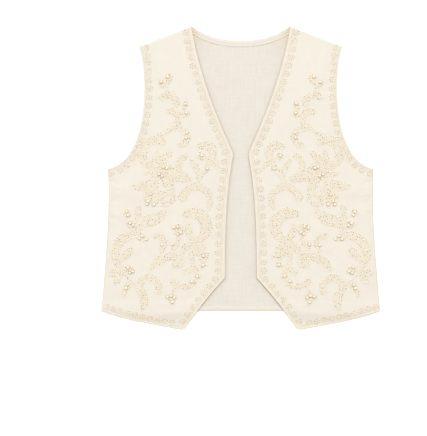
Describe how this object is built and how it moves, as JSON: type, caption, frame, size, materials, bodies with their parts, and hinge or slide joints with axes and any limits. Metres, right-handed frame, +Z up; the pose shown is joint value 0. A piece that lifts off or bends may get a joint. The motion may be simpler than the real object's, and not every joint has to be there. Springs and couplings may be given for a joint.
{
  "type": "embroidered waistcoat",
  "caption": "Sleeveless open-front waistcoat laid flat, with a V neck, pointed fronts, raised scroll embroidery and a border of small round rosettes.",
  "frame": {"origin": "middle of the garment's outline, on the surface that it lies on", "axes": "+Z up from the surface, +Y from hem to neck, +X to the wearer's left"},
  "size_m": [0.4852, 0.5274, 0.0075],
  "materials": {
    "front_cloth": "matt linen weave",
    "back_cloth": "matt plain weave",
    "band_cloth": "matt plain weave",
    "binding_cloth": "soft satin weave",
    "thread": "silk embroidery thread",
    "pearl": "pearl lustre"
  },
  "bodies": {
    "root": {"back": "back_cloth", "front_right": "front_cloth", "front_left": "front_cloth", "back_neck_band": "band_cloth", "edge_binding_right": "binding_cloth", "edge_binding_left": "binding_cloth", "armhole_binding_right": "binding_cloth", "armhole_binding_left": "binding_cloth", "armhole_binding_back_right": "binding_cloth", "armhole_binding_back_left": "binding_cloth"}
  },
  "joints": []
}
